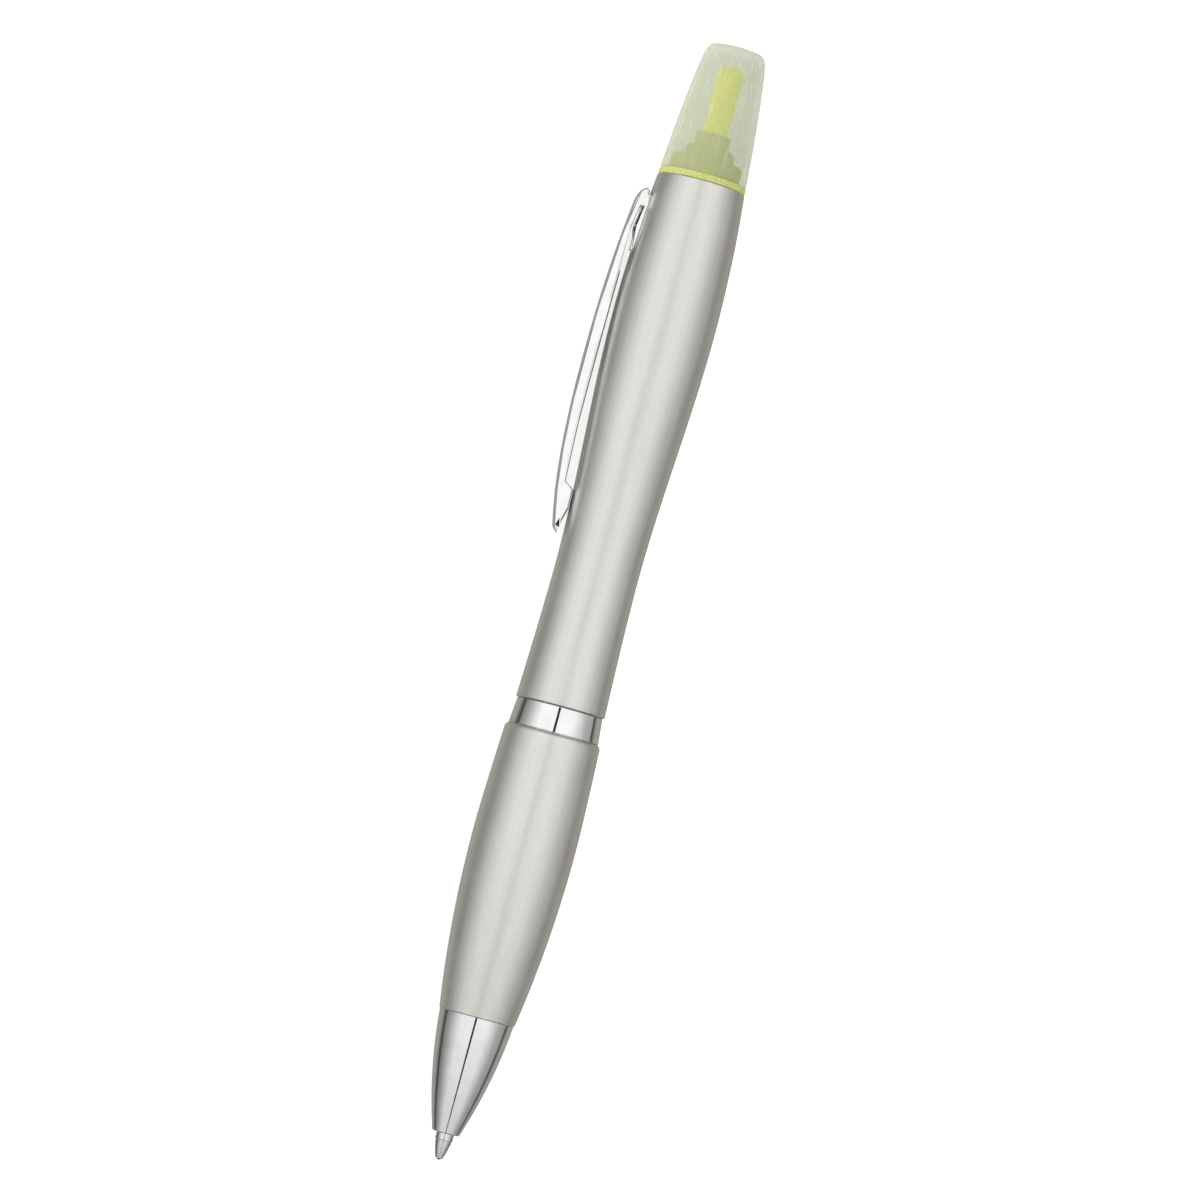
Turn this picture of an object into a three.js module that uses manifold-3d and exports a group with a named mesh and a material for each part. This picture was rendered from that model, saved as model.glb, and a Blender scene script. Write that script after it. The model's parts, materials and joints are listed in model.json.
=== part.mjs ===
// Twist-action ballpoint pen with a capped highlighter in its other end. All sizes are in millimetres.
//
// The pen is drawn upright: its axis is Z, the mouth of the nose is at z = 0 and the clip is on +X.
// Its last step lays it on the floor, tip toward +X, resting on both barrels and one edge of the clip.
//
// Turning the grip by half a turn moves the refill by TRAVEL. The follower that holds the refill has two
// side pegs. Each peg runs in a straight slot of the guide sleeve, which turns with the grip, and in a
// helical slot of the cam sleeve, which turns with the upper barrel.
import * as THREE from "three";
import { mergeVertices } from "three/addons/utils/BufferGeometryUtils.js";
import Module from "manifold-3d";

const wasm = await Module();
wasm.setup();

// ---- Overall sizes ----
const BODY_RADIUS = 6.58; // widest radius of both barrels
const NOSE_LENGTH = 14.9;
const GRIP_LENGTH = 36.6;
const BAND_LENGTH = 3.4;
const UPPER_LENGTH = 68;
const COLLAR_LENGTH = 0.9;
const CAP_LENGTH = 16.8;

// ---- Clearances and edges ----
const RUNNING = 0.1; // radial, between a piece and the piece it turns, slides or plugs into
const SEAM = 0.05; // axial, between two pieces that meet end to end
const EDGE = 0.1; // small broken edges
const OVERCUT = 0.3; // how far a cutting body reaches past what it cuts

// ---- How much less than the widest radius each edge of the outside is ----
const GRIP_FRONT_IN = 1.71;
const GRIP_BACK_IN = 0.43;
const BAND_FRONT_IN = 0.78;
const BAND_BACK_IN = 1.08;
const UPPER_FRONT_IN = 0.85;
const WAIST_IN = 1.27;
const UPPER_BACK_IN = 0.92;
const CAP_CROWN_IN = 2.55;
const CAP_TOP_IN = 3.58;
const NOSE_STEP = 0.12; // the nose's base, inside the grip's front edge
const COLLAR_STEP = 0.06; // the collar, inside the upper barrel's top edge
const CAP_STEP = 0.02; // the cap's mouth, inside the collar

// ---- Where the barrels swell and narrow ----
const GRIP_WIDEST = 22.7; // from the nose's end
const WAIST_FROM_BAND = 17.7;
const BULGE_FROM_TOP = 17.9;

// ---- Walls ----
const FRONT_WALL = 0.77; // grip, round the nose's spigot
const GRIP_WALL = 1.2; // at its back edge
const WAIST_WALL = 1.0;
const TOP_WALL = 0.96; // upper barrel at its mouth
const CAP_WALL = 0.9;
const CHAMBER_WALL = 0.65;
const CHAMBER_FLOOR = 1.2;
const FILM_WALL = 0.15;
const FILM_GAP = 0.06; // between the film and the fibre rod
const MOUTH_WALL = 0.44; // of the nose

// ---- Refill ----
const TIP_REACH = 3.4; // how far the ball stands out of the mouth
const TIP_RADIUS = 1.12;
const TIP_TAPER = 2.5; // length of the tapered part of the tip
const TIP_STEP = 0.06; // from the shank down to the taper
const BALL_RADIUS = 0.4;
const BALL_PLAY = 0.035;
const TIP_PLAY = 0.13; // in the nose's mouth
const SHANK_DEPTH = 4.7; // of the tip in its holder
const PLUG_DEPTH = 3.3; // of the holder in the tube
const REFILL_RADIUS = 1.5;
const REFILL_BORE = 0.98;
const INK_LENGTH = 31.4;
const GREASE_LENGTH = 2.6;
const TRAVEL = 5;
const HALF_TURN = Math.PI;

// ---- Plug fits ----
const SPIGOT_LENGTH = 5; // nose and centre band, inside the grip
const LAND_LENGTH = 2.2; // nib holder, inside the cap's mouth

// ---- Return spring ----
const SPRING_SEAT = 4.9; // inside the nose
const SPRING_LENGTH = 8.5; // with the tip out
const SPRING_RADIUS = 1.85; // to the middle of the wire
const WIRE_RADIUS = 0.18;
const SPRING_TURNS = 8;
const SPRING_ROOM = 0.27; // round it
const HOLDER_FROM_SEAT = 0.4; // front of the tip holder, past the spring's seat

// ---- Twist mechanism ----
const CAM_FROM_BAND = 2;
const CAM_LENGTH = 18;
const PEG_RADIUS = 0.7;
const PEG_PLAY = 0.15;
const SOCKET_WALL = 0.7; // follower, round the refill
const SOCKET_DEPTH = 5;
const FOLLOWER_FRONT = 6.5; // from its pegs to its socket's mouth
const FOLLOWER_BACK = 3; // from its pegs to its tail
const PEG_INSET = 0.15; // peg ends, inside the cam sleeve's outside
const FLANGE = 1.2; // of the guide sleeve and the tip holder
const NECK_STEP = 0.56; // centre band's bore, outside the guide sleeve
const STOP_STEP = 0.3; // stop ring, inside the mechanism's bore
const RETAINER_LENGTH = 1.8;
const RETAINER_GRIP = 0.6; // guide sleeve, past the retainer

// ---- Highlighter ----
const NIB_RADIUS = 1.62;
const NIB_REACH = 14.6; // above the collar
const NIB_TAIL = 30.6; // whole length
const NIB_SEAT = 4.8; // its tail in the fibre rod
const CHAMBER_GAP = 2; // between the retainer and the ink chamber
const HOLDER_GAP = 1; // between the fibre rod and the nib holder
const CHISEL_ANGLE = THREE.MathUtils.degToRad(34);
const NECK_RADIUS = 2.26;
const NECK_LENGTH = 1.8;
const SHOULDER_RADIUS = 3.2;
const SHOULDER_LENGTH = 1.6;
const VENT_COUNT = 16; // grooves that let air past the land as the cap is pulled
const VENT_WIDTH = 0.5;
const VENT_DEPTH = 0.3;
const CAP_FLARE = 1.5; // 1 makes the cap's inside a straight cone, more keeps its mouth wide for longer

// ---- Clip ----
const CLIP_LENGTH = 44.6;
const CLIP_WIDTH = 4.5;
const CLIP_RISE = 2.2; // crown of the clip above the widest radius
const CLIP_DEPTH = 1.69; // thickness of the arm at its crown
const CLIP_EDGE = 0.35; // rounding of the arm's edges
const CLIP_FROM_TOP = 2.25; // from the top of the barrel to the bend of the clip
const CLIP_GAP = 0.14; // between the bend or the leaf and the barrel
const BEND_DROP = 1.16; // from the crown down to where the bend starts
const FOOT_LENGTH = 5.6; // from toe to heel
const FOOT_GAP = 0.05; // between the foot and the barrel
const TOE_LIFT = 1.05; // of the toe's underside above the waist
const TOE_DEPTH = 0.75;
const LEAF_LENGTH = 9.4; // folded back under the arm
const ELBOW = 5.4; // from the bend to where arm and leaf run level
const SLIT = 0.22; // between arm and leaf
const TAB_WIDTH = 2.6;
const TAB_LENGTH = 5.2;
const TAB_FROM_BEND = 2.8;
const TAB_PLAY = 0.3;

// ---- Facets ----
const SHELL_SIDES = 32;
const INNER_SIDES = 28;
const FINE_SIDES = 20;

// ---- Stations along the axis, from the mouth of the nose ----
const noseEnd = NOSE_LENGTH;
const gripEnd = noseEnd + GRIP_LENGTH;
const bandEnd = gripEnd + BAND_LENGTH;
const upperEnd = bandEnd + UPPER_LENGTH;
const collarEnd = upperEnd + COLLAR_LENGTH;
const capEnd = collarEnd + CAP_LENGTH;
const camStart = bandEnd + CAM_FROM_BAND;
const camEnd = camStart + CAM_LENGTH;
const pegRest = camStart + (CAM_LENGTH - TRAVEL) / 2; // pegs, tip out
const retainerStart = camEnd + SEAM;
const retainerEnd = retainerStart + RETAINER_LENGTH;
const chamberStart = retainerEnd + CHAMBER_GAP;
const chamberFloor = chamberStart + SEAM + CHAMBER_FLOOR;
const gripWidest = noseEnd + GRIP_WIDEST;
const waistStation = bandEnd + WAIST_FROM_BAND;
const bulgeStation = upperEnd - BULGE_FROM_TOP;
const flangeStart = SPRING_SEAT + SPRING_LENGTH; // of the tip holder
const flangeEnd = flangeStart + FLANGE;
const holderStart = SPRING_SEAT + HOLDER_FROM_SEAT;
const plugEnd = flangeEnd + PLUG_DEPTH;
const inkStart = plugEnd + 4 * SEAM;
const inkEnd = inkStart + INK_LENGTH;
const followerStart = pegRest - FOLLOWER_FRONT;
const followerEnd = pegRest + FOLLOWER_BACK;
const tubeEnd = followerStart + SOCKET_DEPTH - SEAM;
const landEnd = collarEnd + LAND_LENGTH;
const shoulderEnd = landEnd + SHOULDER_LENGTH;
const neckEnd = shoulderEnd + NECK_LENGTH;
const nibStart = collarEnd + NIB_REACH - NIB_TAIL;
const reservoirStart = chamberFloor + 5 * SEAM;
const reservoirEnd = nibStart + NIB_SEAT;
const holderFoot = reservoirEnd + HOLDER_GAP; // of the nib holder inside the chamber
const clipBend = upperEnd - CLIP_FROM_TOP;
const clipToe = clipBend - CLIP_LENGTH;
const tabStart = clipBend - TAB_FROM_BEND - TAB_LENGTH;

// ---- Radii of the outside ----
const gripFrontRadius = BODY_RADIUS - GRIP_FRONT_IN;
const gripBackRadius = BODY_RADIUS - GRIP_BACK_IN;
const bandFrontRadius = BODY_RADIUS - BAND_FRONT_IN;
const bandBackRadius = BODY_RADIUS - BAND_BACK_IN;
const upperFrontRadius = BODY_RADIUS - UPPER_FRONT_IN;
const waistRadius = BODY_RADIUS - WAIST_IN;
const upperBackRadius = BODY_RADIUS - UPPER_BACK_IN;
const capCrownRadius = BODY_RADIUS - CAP_CROWN_IN;
const capTopRadius = BODY_RADIUS - CAP_TOP_IN;
const noseRadius = gripFrontRadius - NOSE_STEP;
const collarRadius = upperBackRadius - COLLAR_STEP;
const capMouthRadius = collarRadius - CAP_STEP;

// ---- Radii inside, from the outside inwards ----
const gripFrontBore = gripFrontRadius - FRONT_WALL;
const gripBore = gripBackRadius - GRIP_WALL;
const mechanismBore = waistRadius - WAIST_WALL;
const stopBore = mechanismBore - STOP_STEP;
const chamberBore = upperBackRadius - TOP_WALL;
const chamberRadius = chamberBore - RUNNING;
const inkBore = chamberRadius - CHAMBER_WALL;
const springBore = SPRING_RADIUS + WIRE_RADIUS + SPRING_ROOM;
const tipBore = TIP_RADIUS + TIP_PLAY;
const mouthRadius = tipBore + MOUTH_WALL;

// The two sleeves share the room between the follower and the barrel's bore.
const followerRadius = REFILL_RADIUS + RUNNING / 2 + SOCKET_WALL;
const sleeveWall = (mechanismBore - followerRadius - 3 * RUNNING) / 2;
const guideBore = followerRadius + RUNNING;
const guideRadius = guideBore + sleeveWall;
const camBore = guideRadius + RUNNING;
const camRadius = camBore + sleeveWall;
const bandBore = guideRadius + NECK_STEP; // centre band, round the guide sleeve's neck

// ---- Helpers ----

const at = (radius, station) => new THREE.Vector2(radius, station);

// Points along a Bezier curve with three or four control points.
function bend(steps, ...controls) {
  const curve =
    controls.length === 3
      ? new THREE.QuadraticBezierCurve(...controls)
      : new THREE.CubicBezierCurve(...controls);
  return curve.getPoints(steps);
}

// The same points without those that repeat the one before.
const distinct = (points) => points.filter((p, i) => i === 0 || p.distanceTo(points[i - 1]) > 1e-6);

// A profile of radius and station turned about Z.
function turned(profile, sides = SHELL_SIDES) {
  return new THREE.LatheGeometry(distinct(profile), sides).rotateX(Math.PI / 2);
}

// The same for a ring: the profile is closed on itself.
const turnedRing = (profile, sides) => turned([...profile, profile[0].clone()], sides);

// A three.js geometry as a manifold-3d solid.
function solid(geometry) {
  const bare = geometry.clone();
  bare.deleteAttribute("normal");
  bare.deleteAttribute("uv");
  const merged = mergeVertices(bare);
  const vertProperties = new Float32Array(merged.attributes.position.array);
  const triVerts = new Uint32Array(merged.index.array);
  return new wasm.Manifold(new wasm.Mesh({ numProp: 3, vertProperties, triVerts }));
}

// A manifold-3d solid as a three.js geometry.
function geometryOf(manifold) {
  const mesh = manifold.getMesh();
  const geometry = new THREE.BufferGeometry();
  geometry.setAttribute("position", new THREE.BufferAttribute(mesh.vertProperties, 3));
  geometry.setIndex(new THREE.BufferAttribute(mesh.triVerts, 1));
  const flat = geometry.toNonIndexed();
  flat.computeVertexNormals();
  return flat;
}

// A block between two corners.
function block(low, high) {
  const size = high.clone().sub(low);
  const centre = low.clone().add(high).multiplyScalar(0.5);
  return new THREE.BoxGeometry(size.x, size.y, size.z).translate(centre.x, centre.y, centre.z);
}

// A side outline of radius and station, extruded across the pen and centred on it.
function crosswise(outline, width, edge = 0) {
  const geometry = new THREE.ExtrudeGeometry(new THREE.Shape(distinct(outline)), {
    depth: width - 2 * edge,
    bevelEnabled: edge > 0,
    bevelThickness: edge,
    bevelSize: edge,
    bevelOffset: -edge,
    bevelSegments: 2,
  });
  return geometry.translate(0, 0, edge - width / 2).rotateX(Math.PI / 2);
}

// A bar of rectangular section bent round the axis and rising steadily, to be cut out as a helical slot.
function helicalBar({ inner, outer, height, from, turn, start, rise }) {
  const overrun = 0.28; // radians past each end, so that the peg doesn't touch the slot's ends
  const bar = new THREE.BoxGeometry(turn + 2 * overrun, height, outer - inner, 16, 1, 1);
  const place = bar.attributes.position;
  for (let i = 0; i < place.count; i++) {
    const swept = place.getX(i) + turn / 2;
    const angle = from + swept;
    const radius = (inner + outer) / 2 + place.getZ(i);
    const station = start + (rise * swept) / turn + place.getY(i);
    place.setXYZ(i, radius * Math.cos(angle), radius * Math.sin(angle), station);
  }
  return bar;
}

// ---- Materials ----

const chrome = () => new THREE.MeshStandardMaterial({ color: 0xe8e8ea, metalness: 1, roughness: 0.08 });
const silverLacquer = () =>
  new THREE.MeshStandardMaterial({ color: 0xc9c8c1, metalness: 0.6, roughness: 0.32 });
const nickel = () => new THREE.MeshStandardMaterial({ color: 0xc8c2b4, metalness: 1, roughness: 0.2 });
const carbide = () => new THREE.MeshStandardMaterial({ color: 0x4a4a4d, metalness: 1, roughness: 0.25 });
const springSteel = () =>
  new THREE.MeshStandardMaterial({ color: 0x9a9a9c, metalness: 1, roughness: 0.3 });
const frostedPlastic = () =>
  new THREE.MeshStandardMaterial({ color: 0xdfe3cf, roughness: 0.45, transparent: true, opacity: 0.45 });
const yellowPlastic = () =>
  new THREE.MeshStandardMaterial({ color: 0xcdd45c, roughness: 0.3, transparent: true, opacity: 0.8 });
const yellowFelt = () => new THREE.MeshStandardMaterial({ color: 0xe6e85a, roughness: 0.9 });
const wetFibre = () => new THREE.MeshStandardMaterial({ color: 0xdfe04a, roughness: 0.95 });
const clearFilm = () =>
  new THREE.MeshStandardMaterial({ color: 0xf2f2ee, roughness: 0.2, transparent: true, opacity: 0.4 });
const naturalPlastic = () => new THREE.MeshStandardMaterial({ color: 0xe9e9e4, roughness: 0.5 });
const blackPlastic = () => new THREE.MeshStandardMaterial({ color: 0x232325, roughness: 0.4 });
const acetal = () => new THREE.MeshStandardMaterial({ color: 0xf0efe9, roughness: 0.35 });
const inkPaste = () => new THREE.MeshStandardMaterial({ color: 0x101018, roughness: 0.3 });
const grease = () => new THREE.MeshStandardMaterial({ color: 0xd8cf9a, roughness: 0.2 });
const clearTube = () =>
  new THREE.MeshStandardMaterial({ color: 0xeeeeea, roughness: 0.25, transparent: true, opacity: 0.5 });

// A named mesh.
function piece(name, geometry, material) {
  const mesh = new THREE.Mesh(geometry, material);
  mesh.name = name;
  return mesh;
}

// ---- Lower half: what turns with the grip ----

// Chromed cone with a flat mouth, a seat for the spring and a spigot that plugs into the grip.
function noseCone() {
  const spigotRadius = gripFrontBore - RUNNING;
  const end = noseEnd + SPIGOT_LENGTH;
  const profile = [
    at(tipBore, EDGE),
    at(tipBore + EDGE, 0),
    at(mouthRadius - EDGE / 2, 0),
    ...bend(
      9,
      at(mouthRadius + 0.08, EDGE),
      at(0.875 * noseRadius, NOSE_LENGTH / 2),
      at(noseRadius, noseEnd),
    ),
    at(spigotRadius, noseEnd),
    at(spigotRadius, end - EDGE),
    at(spigotRadius - EDGE, end),
    at(springBore, end),
    at(springBore, SPRING_SEAT),
    at(tipBore, SPRING_SEAT),
  ];
  return piece("nose_cone", geometryOf(solid(turnedRing(profile))), chrome());
}

// Lower barrel, swollen where the fingers hold it.
function gripBarrel() {
  const start = noseEnd + SEAM;
  const top = gripEnd - SEAM;
  const lip = gripBackRadius - 2.5 * EDGE; // the back edge is rounded to this
  const profile = [
    at(gripFrontBore, start),
    at(gripFrontRadius - EDGE, start),
    ...bend(
      9,
      at(gripFrontRadius, start + EDGE),
      at(BODY_RADIUS, (noseEnd + gripWidest) / 2),
      at(BODY_RADIUS, gripWidest),
    ),
    ...bend(
      5,
      at(BODY_RADIUS, gripWidest),
      at(BODY_RADIUS, gripWidest + (gripEnd - gripWidest) * 0.28),
      at(gripBackRadius, top - 4 * EDGE),
    ),
    at((gripBackRadius + 2 * lip) / 3, top - EDGE),
    at(lip, top),
    at(gripBore, top),
    at(gripBore, noseEnd + SPIGOT_LENGTH + 4),
    at(gripFrontBore, noseEnd + SPIGOT_LENGTH + 2),
  ];
  return piece("grip_barrel", turnedRing(profile), silverLacquer());
}

// Chromed ring between the barrels, with a spigot that plugs into the grip.
function centreBand() {
  const start = gripEnd - SPIGOT_LENGTH;
  const top = bandEnd - SEAM;
  const spigotRadius = gripBore - RUNNING;
  const profile = [
    at(bandBore, start),
    at(spigotRadius - EDGE, start),
    at(spigotRadius, start + EDGE),
    at(spigotRadius, gripEnd),
    at(bandFrontRadius - EDGE, gripEnd),
    at(bandFrontRadius, gripEnd + EDGE),
    at(bandBackRadius, top - EDGE),
    at(bandBackRadius - EDGE, top),
    at(bandBore, top),
  ];
  return piece("centre_band", turnedRing(profile), chrome());
}

// Tube with two straight slots. Its flange sits under the centre band and its neck carries the retainer.
function guideSleeve() {
  const flange = (bandBore + gripBore) / 2;
  const seat = gripEnd - SPIGOT_LENGTH - SEAM;
  const profile = [
    at(guideBore, seat - FLANGE),
    at(flange, seat - FLANGE),
    at(flange, seat),
    at(bandBore - RUNNING, seat),
    at(bandBore - RUNNING, bandEnd - 10 * EDGE),
    at(guideRadius, bandEnd - 6 * EDGE),
    at(guideRadius, camEnd),
    at(guideRadius - sleeveWall / 3, camEnd),
    at(guideRadius - sleeveWall / 3, retainerEnd + RETAINER_GRIP),
    at(guideBore, retainerEnd + RETAINER_GRIP),
  ];
  const half = PEG_RADIUS + RUNNING;
  const reach = camRadius;
  const slots = block(
    new THREE.Vector3(-reach, -half, pegRest - PEG_RADIUS - PEG_PLAY),
    new THREE.Vector3(reach, half, pegRest + TRAVEL + PEG_RADIUS + PEG_PLAY),
  );
  const sleeve = solid(turnedRing(profile, INNER_SIDES)).subtract(solid(slots));
  return piece("guide_sleeve", geometryOf(sleeve), blackPlastic());
}

// Ring on the guide sleeve's neck, behind the cam sleeve.
function mechanismRetainer() {
  const inner = guideRadius - sleeveWall / 3 + SEAM;
  const outer = stopBore - 1.5 * RUNNING;
  const profile = [
    at(inner, retainerStart),
    at(outer, retainerStart),
    at(outer, retainerEnd - 3 * EDGE),
    at(outer - 3 * EDGE, retainerEnd),
    at(inner, retainerEnd),
  ];
  return piece("mechanism_retainer", turnedRing(profile, INNER_SIDES), acetal());
}

// Compression spring with a closed turn at each end.
class SpringCurve extends THREE.Curve {
  getPoint(t, target = new THREE.Vector3()) {
    const low = SPRING_SEAT + SEAM + WIRE_RADIUS;
    const high = flangeStart - SEAM - WIRE_RADIUS;
    const closed = 2.2 * WIRE_RADIUS; // pitch of an end turn
    const turns = t * SPRING_TURNS;
    const open = (high - low - 2 * closed) / (SPRING_TURNS - 2);
    const middle = THREE.MathUtils.clamp(turns - 1, 0, SPRING_TURNS - 2);
    const ends = Math.min(turns, 1) + Math.max(turns - SPRING_TURNS + 1, 0);
    const angle = 2 * Math.PI * turns;
    return target.set(
      SPRING_RADIUS * Math.cos(angle),
      SPRING_RADIUS * Math.sin(angle),
      low + closed * ends + open * middle,
    );
  }
}

function returnSpring() {
  const wire = new THREE.Shape().absarc(0, 0, WIRE_RADIUS, 0, 2 * Math.PI);
  const geometry = new THREE.ExtrudeGeometry(wire, {
    steps: 10 * SPRING_TURNS,
    curveSegments: 3,
    extrudePath: new SpringCurve(),
    bevelEnabled: false,
  });
  return piece("return_spring", geometry, springSteel());
}

// ---- Refill and follower: what slides ----

// Metal tip: tapered point with a socket for the ball, straight shank, ink channel.
function refillTip() {
  const ball = BALL_RADIUS - TIP_REACH; // station of the ball's centre
  const rim = ball - BALL_RADIUS / 2;
  const shankEnd = holderStart + SHANK_DEPTH;
  const socket = BALL_RADIUS + BALL_PLAY;
  const channel = 0.75 * BALL_RADIUS;
  const profile = [
    at(socket - 0.055, rim),
    at(socket + 0.03, rim),
    ...bend(
      6,
      at(socket + 0.03, rim),
      at(0.76 * TIP_RADIUS, TIP_TAPER / 2 - TIP_REACH),
      at(TIP_RADIUS - TIP_STEP, TIP_TAPER - TIP_REACH),
    ),
    at(TIP_RADIUS, TIP_TAPER - TIP_REACH + TIP_STEP),
    at(TIP_RADIUS, shankEnd),
    at(channel, shankEnd),
    at(channel, ball + 2.5 * BALL_RADIUS),
    at(channel / 2, ball + 1.5 * BALL_RADIUS),
    at(channel / 2, ball + 1.25 * BALL_RADIUS),
    at(socket, ball + 0.9 * BALL_RADIUS),
    at(socket, ball - 0.2 * BALL_RADIUS),
  ];
  return piece("refill_tip", turnedRing(profile, FINE_SIDES), nickel());
}

// Ball that rolls in the tip.
function writingBall() {
  const ball = new THREE.SphereGeometry(BALL_RADIUS, 14, 8).rotateX(Math.PI / 2);
  return piece("writing_ball", ball.translate(0, 0, BALL_RADIUS - TIP_REACH), carbide());
}

// Plastic adapter between tip and tube, with the flange that the spring bears on.
function tipHolder() {
  const front = SPRING_RADIUS - WIRE_RADIUS - 0.22;
  const shank = TIP_RADIUS + 0.03;
  const shankEnd = holderStart + SHANK_DEPTH + SEAM;
  const flange = springBore - 2 * RUNNING;
  const plug = REFILL_BORE - SEAM;
  const channel = 0.4;
  const profile = [
    at(shank, holderStart),
    at(front - EDGE, holderStart),
    at(front, holderStart + EDGE),
    at(front, flangeStart),
    at(flange, flangeStart),
    at(flange, flangeEnd),
    at(plug, flangeEnd),
    at(plug, plugEnd),
    at(channel, plugEnd),
    at(channel, shankEnd),
    at(shank, shankEnd),
  ];
  return piece("tip_holder", turnedRing(profile, FINE_SIDES), naturalPlastic());
}

// Plastic tube of the refill, its tail in the follower's socket.
function refillTube() {
  const start = flangeEnd + SEAM;
  const profile = [
    at(REFILL_BORE, start),
    at(REFILL_RADIUS, start),
    at(REFILL_RADIUS, tubeEnd),
    at(REFILL_BORE, tubeEnd),
  ];
  return piece("refill_tube", turnedRing(profile, FINE_SIDES), clearTube());
}

// A plug of ink or grease that fills a stretch of the tube.
function column(name, from, to, material) {
  const radius = REFILL_BORE - 0.8 * RUNNING;
  const profile = [at(0, from), at(radius, from), at(radius, to), at(0, to)];
  return piece(name, turned(profile, FINE_SIDES), material);
}

function refillInk() {
  return column("refill_ink", inkStart, inkEnd, inkPaste());
}

function greasePlug() {
  return column("grease_plug", inkEnd + SEAM, inkEnd + GREASE_LENGTH, grease());
}

// Pusher that holds the refill's tail. Its pegs run in both sleeves' slots.
function camFollower() {
  const socket = REFILL_RADIUS + RUNNING / 2;
  const bottom = followerStart + SOCKET_DEPTH;
  const profile = [
    at(0, bottom),
    at(socket, bottom),
    at(socket, followerStart + 2 * EDGE),
    at(socket + 2 * EDGE, followerStart),
    at(followerRadius, followerStart),
    at(followerRadius, followerEnd - 4 * EDGE),
    at(followerRadius - 4 * EDGE, followerEnd),
    at(0, followerEnd),
  ];
  const reach = 2 * (camRadius - PEG_INSET);
  const pegs = new THREE.CylinderGeometry(PEG_RADIUS, PEG_RADIUS, reach, 16);
  pegs.rotateZ(Math.PI / 2).translate(0, 0, pegRest);
  const follower = solid(turned(profile, INNER_SIDES)).add(solid(pegs));
  return piece("cam_follower", geometryOf(follower), acetal());
}

// ---- Upper half ----

// Outside of the upper barrel, from its front edge to its top, grown by a gap.
function upperOutline(gap = 0) {
  const bulge = at(BODY_RADIUS + gap, bulgeStation);
  return [
    ...bend(
      5,
      at(upperFrontRadius + gap, bandEnd + EDGE),
      at(waistRadius + gap, (bandEnd + 2 * waistStation) / 3),
      at(waistRadius + gap, waistStation),
    ),
    ...bend(
      10,
      at(waistRadius + gap, waistStation),
      at(waistRadius + gap, (2 * waistStation + bulgeStation) / 3),
      at(BODY_RADIUS + gap, (waistStation + 2 * bulgeStation) / 3),
      bulge,
    ),
    ...bend(
      7,
      bulge,
      at(BODY_RADIUS + gap, (bulgeStation + upperEnd) / 2),
      at(upperBackRadius + gap, upperEnd - EDGE),
    ),
  ];
}

// Radius of the upper barrel's outside at a station.
function upperRadius(station) {
  const outline = distinct(upperOutline());
  const next = outline.findIndex((p) => p.y >= station);
  const [low, high] = [outline[next - 1], outline[next]];
  return THREE.MathUtils.mapLinear(station, low.y, high.y, low.x, high.x);
}

// Upper barrel: bore for the mechanism, stop ring, bore for the ink chamber, slot for the clip's tab.
function upperBarrel() {
  const profile = [
    at(mechanismBore, bandEnd),
    at(upperFrontRadius - EDGE, bandEnd),
    ...upperOutline(),
    at(upperBackRadius - EDGE, upperEnd),
    at(chamberBore, upperEnd),
    at(chamberBore, chamberStart),
    at(stopBore, chamberStart),
    at(stopBore, camEnd + SEAM),
    at(mechanismBore, camEnd + SEAM),
  ];
  const half = TAB_WIDTH / 2 + TAB_PLAY;
  const slot = block(
    new THREE.Vector3(chamberBore - OVERCUT, -half, tabStart - TAB_PLAY),
    new THREE.Vector3(BODY_RADIUS + OVERCUT, half, tabStart + TAB_LENGTH + TAB_PLAY),
  );
  const barrel = solid(turnedRing(profile)).subtract(solid(slot));
  return piece("upper_barrel", geometryOf(barrel), silverLacquer());
}

// Tube with two helical slots, one for each peg, which cross half a turn while rising by TRAVEL.
function camSleeve() {
  const profile = [
    at(camBore, camStart),
    at(camRadius - EDGE, camStart),
    at(camRadius, camStart + EDGE),
    at(camRadius, camEnd),
    at(camBore, camEnd),
  ];
  let sleeve = solid(turnedRing(profile, INNER_SIDES));
  for (const from of [0, Math.PI]) {
    const slot = helicalBar({
      inner: camBore - OVERCUT,
      outer: camRadius + OVERCUT,
      height: 2 * (PEG_RADIUS + PEG_PLAY),
      from,
      turn: HALF_TURN,
      start: pegRest,
      rise: TRAVEL,
    });
    sleeve = sleeve.subtract(solid(slot));
  }
  return piece("cam_sleeve", geometryOf(sleeve), acetal());
}

// Closed cup that holds the highlighter's ink.
function inkChamber() {
  const start = chamberStart + SEAM;
  const top = upperEnd - SEAM;
  const profile = [
    at(0, start),
    at(chamberRadius - EDGE, start),
    at(chamberRadius, start + EDGE),
    at(chamberRadius, top),
    at(inkBore, top),
    at(inkBore, chamberFloor),
    at(0, chamberFloor),
  ];
  return piece("ink_chamber", turned(profile, INNER_SIDES), naturalPlastic());
}

// Fibre rod that soaks up the ink, with a hole for the nib's tail.
function inkReservoir() {
  const radius = inkBore - RUNNING - FILM_WALL - FILM_GAP;
  const hole = NIB_RADIUS + RUNNING;
  const profile = [
    at(0, reservoirStart),
    at(radius, reservoirStart),
    at(radius, reservoirEnd),
    at(hole, reservoirEnd),
    at(hole, nibStart - RUNNING),
    at(0, nibStart - RUNNING),
  ];
  return piece("ink_reservoir", turned(profile, INNER_SIDES), wetFibre());
}

// Thin film wrapped round the fibre rod.
function reservoirFilm() {
  const outer = inkBore - RUNNING;
  const [low, high] = [reservoirStart + EDGE, reservoirEnd - EDGE];
  const profile = [
    at(outer - FILM_WALL, low),
    at(outer, low),
    at(outer, high),
    at(outer - FILM_WALL, high),
  ];
  return piece("reservoir_film", turnedRing(profile, INNER_SIDES), clearFilm());
}

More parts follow.
